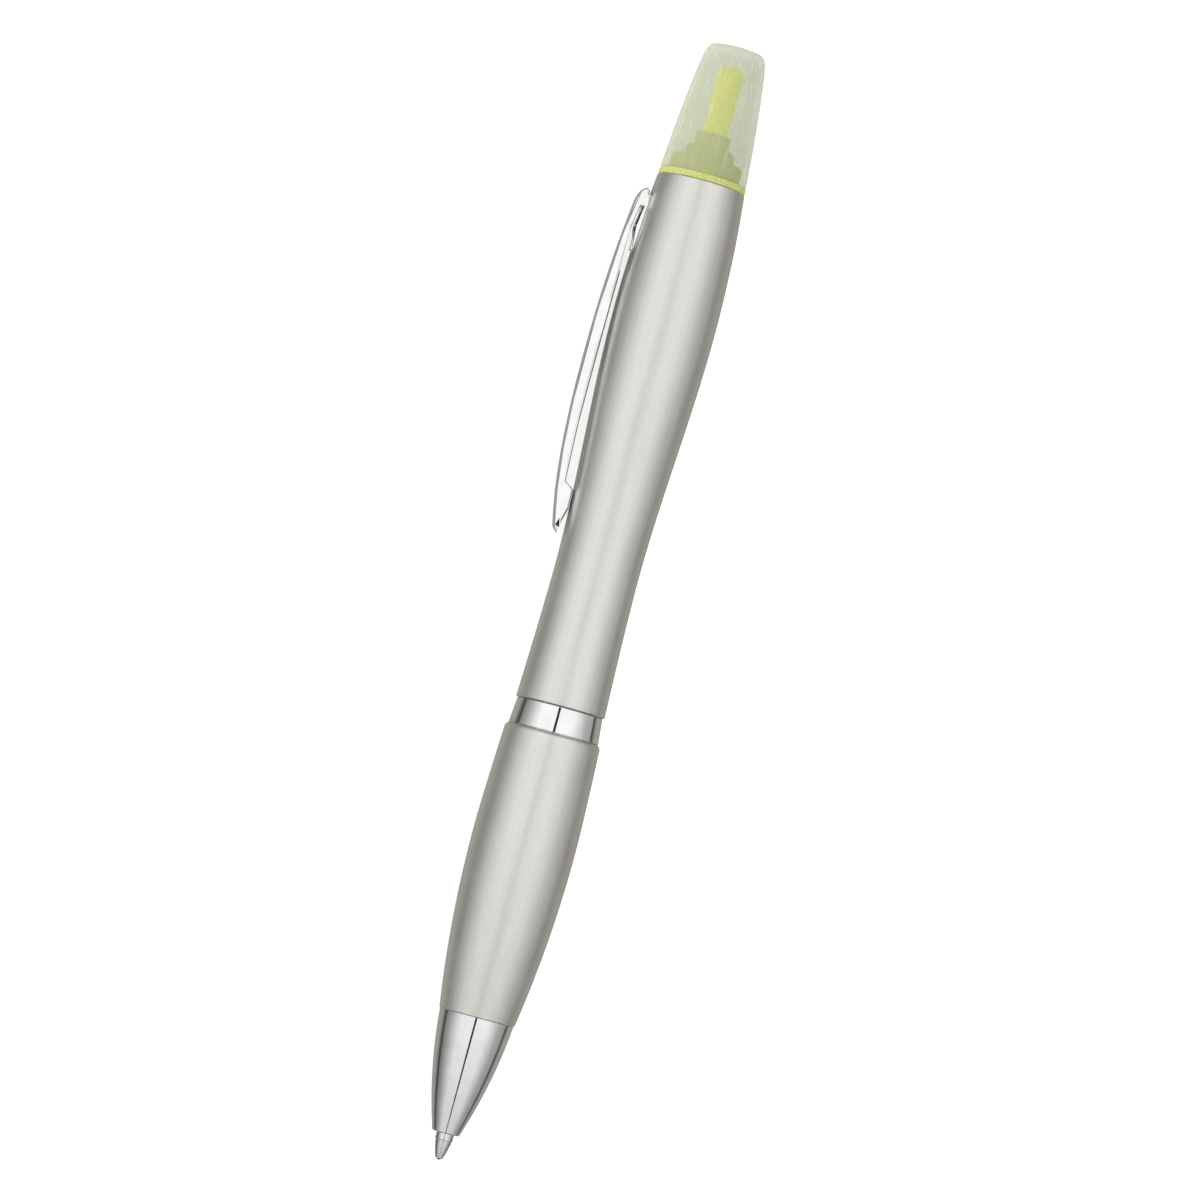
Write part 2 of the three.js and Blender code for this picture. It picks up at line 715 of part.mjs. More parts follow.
// Inside radius of the cap at a station.
function capBore(station) {
  const share = (station - collarEnd) / CAP_LENGTH;
  const mouth = capMouthRadius - CAP_WALL;
  const crown = capCrownRadius - CAP_WALL;
  return THREE.MathUtils.lerp(mouth, crown, THREE.MathUtils.clamp(share, 0, 1) ** CAP_FLARE);
}

// Coloured collar and neck: plugs into the chamber, carries the cap and grips the nib.
function nibHolder() {
  const plug = inkBore - RUNNING;
  const base = upperEnd + SEAM;
  const top = collarEnd;
  const land = capBore(landEnd) - RUNNING;
  const bore = NIB_RADIUS + RUNNING;
  const hollow = plug - CHAMBER_WALL;
  const profile = [
    at(hollow, holderFoot),
    at(plug - 2 * EDGE, holderFoot),
    at(plug, holderFoot + 2 * EDGE),
    at(plug, base),
    at(collarRadius - EDGE, base),
    at(collarRadius, base + EDGE),
    at(collarRadius, top - EDGE),
    at(collarRadius - EDGE, top),
    at(land, top),
    at(land, landEnd - 0.4),
    ...bend(
      4,
      at(land - 0.1, landEnd),
      at(SHOULDER_RADIUS + 0.1, landEnd),
      at(SHOULDER_RADIUS, landEnd + 0.7),
    ),
    at(SHOULDER_RADIUS - 0.05, shoulderEnd - 0.3),
    at(SHOULDER_RADIUS - 0.35, shoulderEnd),
    at(NECK_RADIUS + 0.1, shoulderEnd),
    at(NECK_RADIUS, shoulderEnd + 0.1),
    at(NECK_RADIUS, neckEnd - 0.15),
    at(NECK_RADIUS - 0.15, neckEnd),
    at(bore, neckEnd),
    at(bore, holderFoot + 4.4),
    at(hollow, holderFoot + 2.6),
  ];
  const vent = block(
    new THREE.Vector3(land - VENT_DEPTH, -VENT_WIDTH / 2, top + EDGE),
    new THREE.Vector3(land + 1, VENT_WIDTH / 2, landEnd + 1),
  );
  let holder = solid(turnedRing(profile, INNER_SIDES));
  for (let i = 0; i < VENT_COUNT; i++) {
    const groove = vent.clone().rotateZ((2 * Math.PI * (i + 0.5)) / VENT_COUNT);
    holder = holder.subtract(solid(groove));
  }
  return piece("nib_holder", geometryOf(holder), yellowPlastic());
}

// Fibre nib, cut to a chisel.
function highlighterNib() {
  const top = collarEnd + NIB_REACH;
  const profile = [
    at(0, nibStart),
    at(NIB_RADIUS - 3 * EDGE, nibStart),
    at(NIB_RADIUS, nibStart + 3 * EDGE),
    ...bend(3, at(NIB_RADIUS, top - 7 * EDGE), at(NIB_RADIUS, top), at(NIB_RADIUS - 7 * EDGE, top)),
    at(0, top),
  ];
  const chisel = new THREE.BoxGeometry(4 * NIB_RADIUS, 6 * NIB_RADIUS, 2 * NIB_RADIUS);
  chisel.translate(0, 0, NIB_RADIUS).rotateX(-CHISEL_ANGLE);
  chisel.translate(0, -0.4 * NIB_RADIUS, top);
  const nib = solid(turned(profile, FINE_SIDES)).subtract(solid(chisel));
  return piece("highlighter_nib", geometryOf(nib), yellowFelt());
}

// Frosted cap: a thin shell with a flat end.
function highlighterCap() {
  const start = collarEnd + SEAM;
  const crown = capEnd - 1.6;
  const roof = capEnd - 1.2;
  const inside = [];
  for (let i = 0; i <= 6; i++) {
    const station = THREE.MathUtils.lerp(roof, start, i / 6);
    inside.push(at(capBore(station), station));
  }
  const profile = [
    at(capMouthRadius - EDGE, start),
    ...bend(
      8,
      at(capMouthRadius, start + EDGE),
      at((capMouthRadius + capCrownRadius) / 2 + 0.09, (start + crown) / 2 + 2.2),
      at(capCrownRadius, crown),
    ),
    ...bend(5, at(capCrownRadius, crown), at(0.93 * capCrownRadius, capEnd), at(capTopRadius, capEnd)),
    at(0, capEnd),
    at(0, roof),
    ...inside,
    at(capMouthRadius - EDGE, start),
  ];
  return piece("highlighter_cap", turned(profile), frostedPlastic());
}

// ---- Clip ----

const crownRadius = BODY_RADIUS + CLIP_RISE;
const armInside = crownRadius - CLIP_DEPTH;

// Side outline of the arm: the outer edge from the toe over the crown to the bend, then back along the
// inner edge to the heel and the foot.
function armOutline() {
  const middle = clipToe + CLIP_LENGTH / 2;
  const bendStart = at(crownRadius - BEND_DROP, clipBend - 1.6);
  const heel = clipToe + FOOT_LENGTH;
  const sole = (station) => at(upperRadius(station) + FOOT_GAP, station);
  const toe = at(waistRadius + TOE_LIFT, clipToe);
  return [
    ...bend(
      8,
      at(toe.x + TOE_DEPTH / 1.4, clipToe + TOE_DEPTH / 1.4),
      at(crownRadius + 0.05, clipToe + 8.5),
      at(crownRadius, middle),
    ),
    ...bend(8, at(crownRadius, middle), at(crownRadius, clipBend - 11), bendStart),
    ...bend(4, bendStart, at(bendStart.x - 0.34, clipBend), at(bendStart.x - 1.14, clipBend)),
    at(upperRadius(clipBend) + CLIP_GAP, clipBend - 0.25),
    at(upperRadius(clipBend) + CLIP_GAP, clipBend - 2),
    at(armInside - 0.1, clipBend - ELBOW),
    ...bend(
      5,
      at(armInside - 0.1, clipBend - 10.5),
      at(armInside + 0.02, clipBend - 20),
      at(armInside - 0.03, heel + 8.4),
    ),
    at(armInside - 0.27, heel + 2.6),
    at(armInside - 0.36, heel + 0.7),
    sole(heel),
    sole(heel - 1.4),
    sole(heel - 2.4),
    at(upperRadius(heel - 4) + TOE_LIFT / 2, heel - 4),
    toe,
  ];
}

// Side outline of the leaf that the bend folds back under the arm.
function leafOutline() {
  return [
    at(waistRadius, clipBend - 0.8),
    at(waistRadius, clipBend - LEAF_LENGTH),
    at(armInside - 0.35, clipBend - LEAF_LENGTH),
    at(armInside - 0.18, clipBend - ELBOW),
    at(armInside - 0.3, clipBend - 2.2),
    at(armInside - 0.6, clipBend - 0.8),
  ];
}

// Side outline of the slit between arm and leaf, open toward the foot.
function slitOutline() {
  const open = clipBend - LEAF_LENGTH - 1.6;
  return [
    at(armInside + 0.02, open),
    at(armInside + 0.1, clipBend - ELBOW),
    at(armInside - 0.36, clipBend - 2.3),
    at(armInside - 0.36 - SLIT, clipBend - 2.4),
    at(armInside + 0.08 - SLIT, clipBend - ELBOW),
    at(waistRadius, open),
  ];
}

// Spring clip: an arm with a ski-shaped foot, folded back at its bend into a leaf whose tab enters the
// barrel's slot.
function clip() {
  const half = TAB_WIDTH / 2;
  const tab = block(
    new THREE.Vector3(chamberBore + TAB_PLAY / 2, -half, tabStart),
    new THREE.Vector3(upperRadius(tabStart) + CLIP_GAP + 0.1, half, tabStart + TAB_LENGTH),
  );
  const barrel = turned([at(0, bandEnd + EDGE), ...upperOutline(CLIP_GAP), at(0, upperEnd - EDGE)]);
  const folded = solid(crosswise(armOutline(), CLIP_WIDTH, CLIP_EDGE))
    .add(solid(crosswise(leafOutline(), CLIP_WIDTH - 2 * EDGE)))
    .subtract(solid(crosswise(slitOutline(), CLIP_WIDTH + 2)));
  const foot = solid(block(
    new THREE.Vector3(0, -CLIP_WIDTH, clipToe - 1),
    new THREE.Vector3(crownRadius, CLIP_WIDTH, clipToe + 2 * FOOT_LENGTH),
  ));
  const made = folded.subtract(solid(barrel).subtract(foot)).add(solid(tab));
  return piece("clip", geometryOf(made), chrome());
}

// ---- The pen ----

function group(name, ...members) {
  const made = new THREE.Group();
  made.name = name;
  return made.add(...members);
}

// How far the pen rolls until the clip's outer edge comes down to the floor that the barrels lie on.
function restingRoll() {
  const soft = CLIP_EDGE * (1 - Math.SQRT1_2); // the rounded edge, half way round it
  const height = crownRadius - soft;
  const side = CLIP_WIDTH / 2 - soft;
  return Math.asin(BODY_RADIUS / Math.hypot(height, side)) - Math.atan2(side, height);
}

const pen = group(
  "pen",
  group(
    "grip_half",
    noseCone(),
    gripBarrel(),
    centreBand(),
    guideSleeve(),
    mechanismRetainer(),
    returnSpring(),
  ),
  group(
    "refill",
    refillTip(),
    writingBall(),
    tipHolder(),
    refillTube(),
    refillInk(),
    greasePlug(),
    camFollower(),
  ),
  group(
    "upper_half",
    upperBarrel(),
    camSleeve(),
    inkChamber(),
    inkReservoir(),
    reservoirFilm(),
    nibHolder(),
    highlighterNib(),
  ),
  highlighterCap(),
  clip(),
);

const roll = restingRoll();
const clipSide = new THREE.Vector3(0, -Math.cos(roll), -Math.sin(roll));
const upSide = new THREE.Vector3(0, -Math.sin(roll), Math.cos(roll));
const capSide = new THREE.Vector3(-1, 0, 0);
pen.setRotationFromMatrix(new THREE.Matrix4().makeBasis(clipSide, upSide, capSide));
pen.updateMatrixWorld(true);

const bounds = new THREE.Box3().setFromObject(pen, true);
const centre = bounds.getCenter(new THREE.Vector3());
pen.position.set(-centre.x, -centre.y, -bounds.min.z);

export default pen;
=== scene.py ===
"""Looks of a twist-action ballpoint pen with a capped highlighter in its other end.

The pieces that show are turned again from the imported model's own sections, with more sides, and every
piece gets a procedural finish. Lengths are in millimetres along the pen's own axes until a mesh is made.
"""

import json
import math

import bmesh
import bpy
from mathutils import Matrix, Vector

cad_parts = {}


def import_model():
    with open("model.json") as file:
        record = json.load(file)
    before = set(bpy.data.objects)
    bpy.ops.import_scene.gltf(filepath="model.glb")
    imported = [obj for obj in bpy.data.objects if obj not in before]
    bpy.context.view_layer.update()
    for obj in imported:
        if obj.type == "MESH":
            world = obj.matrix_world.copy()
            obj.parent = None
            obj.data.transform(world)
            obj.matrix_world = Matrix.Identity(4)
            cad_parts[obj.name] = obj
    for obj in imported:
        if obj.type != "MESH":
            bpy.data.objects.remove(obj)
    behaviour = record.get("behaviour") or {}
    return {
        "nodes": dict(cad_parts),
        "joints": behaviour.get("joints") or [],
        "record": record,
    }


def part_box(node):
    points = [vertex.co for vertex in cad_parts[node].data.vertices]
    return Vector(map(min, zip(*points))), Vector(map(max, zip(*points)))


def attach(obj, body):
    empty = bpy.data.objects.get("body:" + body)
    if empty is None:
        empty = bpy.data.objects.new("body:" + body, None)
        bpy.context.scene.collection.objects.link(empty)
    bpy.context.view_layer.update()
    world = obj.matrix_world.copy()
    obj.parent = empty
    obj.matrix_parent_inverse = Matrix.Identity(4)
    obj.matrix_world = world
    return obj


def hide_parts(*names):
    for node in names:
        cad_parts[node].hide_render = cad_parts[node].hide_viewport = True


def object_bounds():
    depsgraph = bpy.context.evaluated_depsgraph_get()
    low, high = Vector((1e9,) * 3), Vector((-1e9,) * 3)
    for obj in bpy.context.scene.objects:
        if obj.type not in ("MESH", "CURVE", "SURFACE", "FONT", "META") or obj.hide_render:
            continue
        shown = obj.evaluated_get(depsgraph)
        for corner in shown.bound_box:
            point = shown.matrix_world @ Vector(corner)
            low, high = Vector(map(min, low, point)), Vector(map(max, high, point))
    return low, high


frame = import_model()
cad_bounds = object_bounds()

MM = 0.001
SIDES = 128  # round a piece that shows
TIP_SIDES = 96
SMALL_SIDES = 64
BALL_SIDES = 48
NEAR = 0.01  # points this close together count as one
CORNER = math.radians(17)  # a sharper turn in a section stays a corner
BEND_STEPS = 5  # points added along each gentle bend

# ---- The pen's axes: X toward the clip, Y toward the viewer, Z from the tip to the cap ----

joints = {joint["name"]: joint for joint in frame["joints"]}
bodies = frame["record"]["behaviour"]["bodies"]
cap_side = Vector(joints["twist"]["axis"]).normalized()
view_side = -Vector(joints["clip_flex"]["axis"]).normalized()
clip_side = view_side.cross(cap_side)
nose_low, nose_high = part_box("nose_cone")
mouth = Vector((nose_high.x, (nose_low.y + nose_high.y) / 2, (nose_low.z + nose_high.z) / 2))
axes = Matrix((clip_side, view_side, cap_side)).transposed()
pen = Matrix.Translation(mouth) @ axes.to_4x4() @ Matrix.Scale(MM, 4)
from_world = pen.inverted()


def span(node):
    """Stations of a node's two ends, counted from the mouth of the nose."""
    low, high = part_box(node)
    return (mouth.x - high.x) / MM, (mouth.x - low.x) / MM


# ---- Meshes ----


def section(node):
    """A turned CAD node's outline as (radius, station) points in order, read on its viewer-away meridian."""
    mesh = frame["nodes"][node].data
    point = {}
    for vertex in mesh.vertices:
        x, y, station = from_world @ vertex.co
        radius = math.hypot(x, y)
        if radius < 2 * NEAR:
            point[vertex.index] = (0.0, round(station, 3))
        elif abs(x) < NEAR and y < 0:
            point[vertex.index] = (round(radius, 3), round(station, 3))
    links = {p: [] for p in point.values()}
    for edge in mesh.edges:
        a, b = (point.get(v) for v in edge.vertices)
        if a and b and a != b and b not in links[a]:
            links[a].append(b)
            links[b].append(a)
    loose = [p for p in links if len(links[p]) == 1 and p[0] > 0]
    while loose:  # a flat ring may have no edge on the meridian
        a = loose.pop()
        b = min((p for p in loose if abs(p[1] - a[1]) < NEAR), key=lambda p: abs(p[0] - a[0]))
        loose.remove(b)
        links[a].append(b)
        links[b].append(a)
    on_axis = [p for p in links if p[0] == 0 and links[p]]
    walk = [max(on_axis or links, key=lambda p: p[1])]
    while True:
        onward = [p for p in links[walk[-1]] if p not in walk]
        if not onward:
            return [Vector(p) for p in walk]
        walk.append(onward[0])


def eased(points):
    """The same outline with more points along its gentle bends."""
    closed = points[0].x > 0
    count = len(points)

    def beyond(i):
        return points[i % count] if closed or 0 <= i < count else None

    def slope(i):
        """Unit direction of the curve at a point, or None at a corner."""
        before, here, after = beyond(i - 1), beyond(i), beyond(i + 1)
        if before is None or after is None:
            return None
        into, out = here - before, after - here
        if into.angle(out) > CORNER:
            return None
        return (into.normalized() * out.length + out.normalized() * into.length).normalized()

    made = []
    for i in range(count if closed else count - 1):
        a, b = beyond(i), beyond(i + 1)
        chord = b - a
        start, end = slope(i), slope(i + 1)
        made.append(a)
        if start is None and end is None or a.x * b.x == 0:
            continue
        start = (start or chord.normalized()) * chord.length
        end = (end or chord.normalized()) * chord.length
        for step in range(1, BEND_STEPS):
            t = step / BEND_STEPS
            made.append(
                a * (2 * t**3 - 3 * t**2 + 1)
                + start * (t**3 - 2 * t**2 + t)
                + b * (3 * t**2 - 2 * t**3)
                + end * (t**3 - t**2)
            )
    return made if closed else [*made, points[-1]]


def shown(name, vertices, faces):
    """An object from points on the pen's axes, facing out, smooth but for its corners."""
    mesh = bpy.data.meshes.new(name)
    mesh.from_pydata([pen @ Vector(v) for v in vertices], [], faces)
    build = bmesh.new()
    build.from_mesh(mesh)
    bmesh.ops.recalc_face_normals(build, faces=build.faces)
    build.to_mesh(mesh)
    build.free()
    made = bpy.data.objects.new(name, mesh)
    bpy.context.scene.collection.objects.link(made)
    return smoothed(made)


def smoothed(piece, corner=math.radians(28)):
    """The piece shaded smooth, but for edges that turn more than the corner angle."""
    piece.data.shade_smooth()
    piece.data.set_sharp_from_angle(angle=corner)
    return piece


def lathe(name, points, sides=SIDES):
    """An outline of (radius, station) points turned about the pen's axis."""
    vertices, rings = [], []
    for radius, station in points:
        if radius <= 0:
            rings.append([len(vertices)] * sides)
            vertices.append((0, 0, station))
            continue
        rings.append(range(len(vertices), len(vertices) + sides))
        for i in range(sides):
            angle = 2 * math.pi * i / sides
            vertices.append((radius * math.cos(angle), radius * math.sin(angle), station))
    if points[0][0] > 0:
        rings.append(rings[0])
    faces = []
    for low, high in zip(rings, rings[1:]):
        for i in range(sides):
            j = (i + 1) % sides
            corners = [low[i], low[j], high[j], high[i]]
            faces.append(list(dict.fromkeys(corners)))
    return shown(name, vertices, faces)


def box_mesh(name, low, high, turn=0.0):
    """A block between two corners, turned about the pen's axis."""
    ends = list(zip(low, high))
    corners = [(x, y, z) for x in ends[0] for y in ends[1] for z in ends[2]]
    around = Matrix.Rotation(turn, 4, "Z")
    faces = [(0, 1, 3, 2), (4, 6, 7, 5), (0, 4, 5, 1), (2, 3, 7, 6), (0, 2, 6, 4), (1, 5, 7, 3)]
    return shown(name, [around @ Vector(c) for c in corners], faces)


def cut(piece, cutters):
    """Takes the cutters out of a piece and removes them."""
    for cutter in cutters:
        change = piece.modifiers.new("cut", "BOOLEAN")
        change.operation = "DIFFERENCE"
        change.solver = "EXACT"
        change.object = cutter
    made = evaluated_mesh(piece)
    piece.modifiers.clear()
    piece.data = made
    for cutter in cutters:
        bpy.data.objects.remove(cutter)
    return smoothed(piece)


def evaluated_mesh(piece):
    """A new mesh of the piece as its modifiers leave it."""
    bpy.context.view_layer.update()
    graph = bpy.context.evaluated_depsgraph_get()
    return bpy.data.meshes.new_from_object(piece.evaluated_get(graph))


def stand_in(piece, node, finish):
    """The piece takes the node's place, body and finish."""
    piece.data.materials.clear()
    piece.data.materials.append(finish)
    body = next(name for name, members in bodies.items() if node in members)
    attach(piece, body)
    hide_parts(node)
    return piece


def clear_inside(piece, finish):
    """Gives the faces of a hollow piece that look in towards its middle a finish of their own."""
    mesh = piece.data
    mesh.materials.append(finish)
    centres = [face.center for face in mesh.polygons]
    middle = sum(centres[1:], centres[0].copy()) / len(centres)
    for face in mesh.polygons:
        if face.normal.dot(face.center - middle) < 0:
            face.material_index = 1


# ---- Finishes ----


class Finish:
    """A procedural material: a shader with its fixed values, and the nodes that vary it."""

    def __init__(self, name, **fixed):
        self.material = bpy.data.materials.new(name)
        self.material.use_nodes = True
        self.tree = self.material.node_tree
        self.shader = self.tree.nodes["Principled BSDF"]
        for socket, value in fixed.items():
            self.shader.inputs[socket.replace("_", " ")].default_value = value
        place = self.add("ShaderNodeTexCoord").outputs["Object"]
        mapping = self.add("ShaderNodeMapping", {"Vector": place}, vector_type="TEXTURE")
        mapping.inputs["Location"].default_value = mouth
        mapping.inputs["Rotation"].default_value = axes.to_euler()
        mapping.inputs["Scale"].default_value = (MM, MM, MM)
        self.place = mapping.outputs[0]  # in millimetres on the pen's axes

    def add(self, kind, inputs=None, **settings):
        node = self.tree.nodes.new(kind)
        for key, value in settings.items():
            setattr(node, key, value)
        for key, value in (inputs or {}).items():
            if isinstance(value, bpy.types.NodeSocket):
                self.tree.links.new(value, node.inputs[key])
            else:
                node.inputs[key].default_value = value
        return node

    def math(self, operation, a, b=0.0, clamp=False):
        return self.add("ShaderNodeMath", {0: a, 1: b}, operation=operation, use_clamp=clamp).outputs[0]

    def stretched(self, stretch):
        scaled = self.add("ShaderNodeVectorMath", {0: self.place, 1: stretch}, operation="MULTIPLY")
        return scaled.outputs[0]

    def noise(self, scale, detail=3.0, stretch=(1, 1, 1), rough=0.5):
        """Noise between 0 and 1 with about that many spots to the millimetre."""
        inputs = {"Vector": self.stretched(stretch), "Scale": scale, "Detail": detail, "Roughness": rough}
        return self.add("ShaderNodeTexNoise", inputs).outputs["Fac"]

    def flakes(self, scale):
        """A random shade for each flake."""
        cells = self.add("ShaderNodeTexVoronoi", {"Vector": self.place, "Scale": scale})
        return self.add("ShaderNodeSeparateColor", {0: cells.outputs["Color"]}).outputs[0]

    def span(self, value, low, high, to_low, to_high):
        """Value from low..high mapped to to_low..to_high and kept there."""
        inputs = {"Value": value, "From Min": low, "From Max": high, "To Min": to_low, "To Max": to_high}
        return self.add("ShaderNodeMapRange", inputs).outputs[0]

    def mix(self, factor, a, b):
        """Colour a where the factor is 0 and b where it is 1."""
        node = self.add("ShaderNodeMix", {0: factor}, data_type="RGBA")
        for socket, value in ((node.inputs[6], a), (node.inputs[7], b)):
            if isinstance(value, bpy.types.NodeSocket):
                self.tree.links.new(value, socket)
            else:
                socket.default_value = (*value, 1)
        return node.outputs[2]

    def near(self, stations, width):
        """1 at any of the stations, falling to 0 at that distance from it."""
        along = self.add("ShaderNodeSeparateXYZ", {0: self.place}).outputs[2]
        total = None
        for station in stations:
            away = self.math("ABSOLUTE", self.math("SUBTRACT", along, station))
            close = self.span(away, 0, width, 1, 0)
            total = close if total is None else self.math("MAXIMUM", total, close)
        return total

    def feed(self, **links):
        for socket, value in links.items():
            self.tree.links.new(value, self.shader.inputs[socket.replace("_", " ")])

    def bump(self, height, depth, strength=1.0):
        """Bumps of up to that depth in millimetres."""
        inputs = {"Height": height, "Distance": depth * MM, "Strength": strength}
        self.feed(Normal=self.add("ShaderNodeBump", inputs).outputs[0])


def silver_lacquer(name, rims):
    """Metallic lacquer on plastic: fine flakes, faint lengthwise streaks, a clear coat, worn rims."""
    made = Finish(name, Metallic=0.88, Coat_Weight=0.3, Coat_Roughness=0.05, Coat_IOR=1.5)
    cloud = made.noise(0.16, 3)
    streak = made.noise(1.0, 3, (2.4, 2.4, 0.04))
    flake = made.flakes(11)
    tone = made.math("ADD", made.math("MULTIPLY", cloud, 0.35), made.math("MULTIPLY", streak, 0.45))
    tone = made.math("ADD", tone, made.math("MULTIPLY", flake, 0.25))
    colour = made.mix(made.span(tone, 0.3, 0.75, 0, 1), (0.735, 0.73, 0.685), (0.84, 0.84, 0.795))
    worn = made.math("MULTIPLY", made.near(rims, 0.22), made.span(made.noise(3, 4), 0.42, 0.6, 0, 1))
    colour = made.mix(made.math("MULTIPLY", worn, 0.55), colour, (0.36, 0.35, 0.33))
    speck = made.span(made.noise(2.1, 2), 0.76, 0.8, 0, 0.35)
    colour = made.mix(speck, colour, (0.30, 0.28, 0.25))
    rough = made.span(made.math("ADD", cloud, made.math("MULTIPLY", flake, 0.5)), 0.4, 1.1, 0.33, 0.45)
    made.feed(Base_Color=colour, Roughness=rough)
    peel = made.math("ADD", made.math("MULTIPLY", flake, 0.5), made.noise(1.6, 3))
    made.bump(peel, 0.004, 0.6)
    return made.material


def chrome(name, across=(1, 1, 1)):
    """Bright plating with hairline scratches and faint smudges."""
    made = Finish(name, Metallic=1.0)
    scratch = made.noise(5.0, 4, across, 0.7)
    smudge = made.noise(0.5, 3)
    hair = made.span(scratch, 0.60, 0.70, 0, 1)
    colour = made.mix(made.span(smudge, 0.3, 0.7, 0, 1), (0.84, 0.845, 0.855), (0.93, 0.93, 0.93))
    colour = made.mix(made.math("MULTIPLY", hair, 0.25), colour, (0.6, 0.6, 0.61))
    rough = made.math("ADD", made.span(smudge, 0.35, 0.7, 0.04, 0.085), made.math("MULTIPLY", hair, 0.07))
    made.feed(Base_Color=colour, Roughness=rough)
    made.bump(made.math("ADD", scratch, made.noise(0.7, 2)), 0.0016, 0.5)
    return made.material


def frosted_plastic(name="frosted_plastic", clearest=0.46, milkiest=0.54):
    """Milky clear plastic with flow lines from its moulding.

    A sight line crosses two faces in each wall. The milk is put on the outer one, so that the wall looks
    the same at the outline, where only the outer faces are crossed.
    """
    made = Finish(name, IOR=1.3)
    grain = made.noise(7, 3)
    cloud = made.noise(0.3, 3)
    flow = made.noise(1.3, 2, (2, 2, 0.1))
    tint = made.mix(made.span(cloud, 0.35, 0.65, 0, 1), (0.514, 0.551, 0.389), (0.545, 0.577, 0.41))
    tint = made.mix(made.span(flow, 0.60, 0.7, 0, 0.4), tint, (0.93, 0.94, 0.87))
    made.feed(
        Base_Color=tint,
        Roughness=made.span(made.math("ADD", grain, cloud), 0.7, 1.3, 0.24, 0.34),
        Alpha=made.span(made.math("ADD", cloud, flow), 0.7, 1.3, clearest, milkiest),
    )
    made.bump(made.math("ADD", grain, flow), 0.003, 0.3)
    return made.material


def yellow_plastic():
    """Tinted clear plastic, lighter along its moulding lines, with a painted glow: its emission brightens it
    in the cap's shade.
    """
    fixed = {"IOR": 1.45, "Coat_Weight": 0.2, "Coat_Roughness": 0.12, "Emission_Strength": 0.12}
    made = Finish("yellow_clear_plastic", **fixed)
    flow = made.noise(1.6, 3, (1.5, 1.5, 0.25))
    colour = made.mix(made.span(flow, 0.38, 0.66, 0, 1), (0.66, 0.70, 0.24), (0.80, 0.83, 0.38))
    made.feed(
        Base_Color=colour,
        Emission_Color=colour,
        Roughness=made.span(made.noise(4, 3), 0.35, 0.65, 0.2, 0.38),
        Transmission_Weight=made.span(flow, 0.4, 0.6, 0.25, 0.45),
    )
    made.bump(flow, 0.01, 0.4)
    return made.material


def yellow_felt():
    """Pressed fibres soaked in fluorescent ink, with a painted glow: its emission brightens the nib in the
    cap's shade.
    """
    made = Finish("yellow_felt", Emission_Strength=0.3, Sheen_Weight=0.25, Sheen_Roughness=0.5)
    fibre = made.noise(4, 5, (3, 3, 0.35), 0.7)
    grain = made.noise(9, 4)
    colour = made.mix(made.span(fibre, 0.3, 0.7, 0, 1), (0.88, 0.91, 0.09), (0.96, 0.98, 0.20))
    made.feed(Base_Color=colour, Emission_Color=colour, Roughness=made.span(grain, 0.3, 0.7, 0.75, 0.95))
    made.bump(made.math("ADD", fibre, made.math("MULTIPLY", grain, 0.5)), 0.05, 0.8)
    return made.material


def turned_metal(name, dark, light, rough):
    """Metal with the fine rings of a lathe and a few scratches."""
    made = Finish(name, Metallic=1.0)
    rings = made.noise(1.0, 3, (0.4, 0.4, 14))
    scratch = made.span(made.noise(6, 4, (1, 1, 0.2)), 0.58, 0.72, 0, 1)
    colour = made.mix(made.span(rings, 0.3, 0.7, 0, 1), dark, light)
    base = made.mix(made.math("MULTIPLY", scratch, 0.3), colour, dark)
    polish = made.span(rings, 0.3, 0.7, rough, rough + 0.08)
    worn = made.math("MULTIPLY", scratch, 0.05)
    made.feed(Base_Color=base, Roughness=made.math("ADD", polish, worn))
    made.bump(rings, 0.003, 0.5)
    return made.material


def moulded(name, dark, light, rough, clear=0.0, along=(1, 1, 1)):
    """Moulded plastic or paste: soft clouds of shade, a fine grain and scuffs."""
    made = Finish(name, Transmission_Weight=clear, IOR=1.46)
    cloud = made.noise(0.6, 3, along)
    scuff = made.span(made.noise(2.5, 4), 0.60, 0.72, 0, 1)
    colour = made.mix(made.span(cloud, 0.3, 0.7, 0, 1), dark, light)
    base = made.mix(made.math("MULTIPLY", scuff, 0.2), colour, light)
    polish = made.span(cloud, 0.3, 0.7, rough, rough + 0.1)
    worn = made.math("MULTIPLY", scuff, 0.1)
    made.feed(Base_Color=base, Roughness=made.math("ADD", polish, worn))
    made.bump(made.math("ADD", made.noise(8, 2), cloud), 0.004, 0.5)
    return made.material


# ---- The pieces that show ----


def turned(node, finish, sides=SIDES):
    """The node's own section, eased and turned again, in the node's place."""
    return stand_in(lathe("fine_" + node, eased(section(node)), sides), node, finish)


def writing_ball(finish):
    """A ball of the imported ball's size and place."""
    low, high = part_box("writing_ball")
    radius = (high.x - low.x) / 2 / MM
    middle = (mouth.x - (low.x + high.x) / 2) / MM
    steps = 24
    arc = [math.pi * i / steps for i in range(steps + 1)]
    outline = [Vector((radius * math.sin(a), middle + radius * math.cos(a))) for a in arc]
    outline[0].x = outline[-1].x = 0
    return stand_in(lathe("fine_writing_ball", outline, BALL_SIDES), "writing_ball", finish)


def upper_barrel(finish):
    """The barrel with the slot that takes the clip's tab."""
    width, length, from_top = 3.2, 5.8, 4.75
    inside, outside = 3, 9  # from within the hollow to beyond the wall
    top = span("upper_barrel")[1] - from_top
    barrel = lathe("fine_upper_barrel", eased(section("upper_barrel")))
    slot = box_mesh("slot", (inside, -width / 2, top - length), (outside, width / 2, top))
    return stand_in(cut(barrel, [slot]), "upper_barrel", finish)


